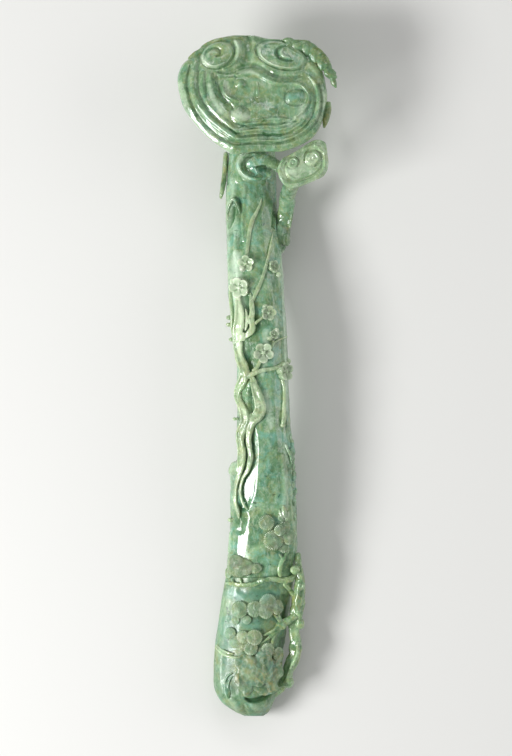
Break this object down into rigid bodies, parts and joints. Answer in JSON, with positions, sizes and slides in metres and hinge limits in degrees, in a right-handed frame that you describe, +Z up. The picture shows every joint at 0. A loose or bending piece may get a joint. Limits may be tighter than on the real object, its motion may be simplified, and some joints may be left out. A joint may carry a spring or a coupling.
{
  "type": "ruyi scepter",
  "caption": "Arched ruyi scepter carved as a tree trunk: lingzhi head with scrolls, small lingzhi, prunus branches with blossoms and an openwork pine round the foot.",
  "frame": {"origin": "under the middle of the scepter's box, on the surface it lies on", "axes": "+Y from the foot to the head, +X to the right of the carved face, +Z up out of the face"},
  "size_m": [0.0963, 0.4093, 0.0585],
  "materials": {
    "jade": "polished"
  },
  "bodies": {
    "root": {"bark_edge": "jade", "curled_lingzhi": "jade", "curled_lingzhi_root": "jade", "curled_lingzhi_stem": "jade", "edge_buds": "jade", "foot_ridge": "jade", "foot_rock": "jade", "foot_scroll": "jade", "foot_stump": "jade", "head_bosses": "jade", "head_cap": "jade", "head_lower_bead": "jade", "head_lower_tier": "jade", "head_rim_bead": "jade", "head_ripple": "jade", "head_scroll_left": "jade", "head_scroll_right": "jade", "head_stalk": "jade", "head_upper_bead": "jade", "head_upper_tier": "jade", "head_wave": "jade", "knothole_lip": "jade", "neck_leaf": "jade", "pine_cross_branch": "jade", "pine_lower_limb": "jade", "pine_needles_left": "jade", "pine_needles_lower": "jade", "pine_needles_middle": "jade", "pine_needles_upper": "jade", "pine_stem": "jade", "pine_twigs": "jade", "pine_upper_limb": "jade", "prunus_blossom_twigs": "jade", "prunus_blossoms": "jade", "prunus_bud_stalk": "jade", "prunus_edge_branch": "jade", "prunus_left_twig": "jade", "prunus_main_branch": "jade", "prunus_right_strand": "jade", "prunus_right_twig": "jade", "prunus_side_branch": "jade", "prunus_upper_branch": "jade", "rim_leaf_left": "jade", "rim_leaf_right": "jade", "rim_spray": "jade", "shaft_trunk": "jade", "small_lingzhi_cap": "jade", "small_lingzhi_scrolls": "jade", "small_lingzhi_stem": "jade"}
  },
  "joints": []
}
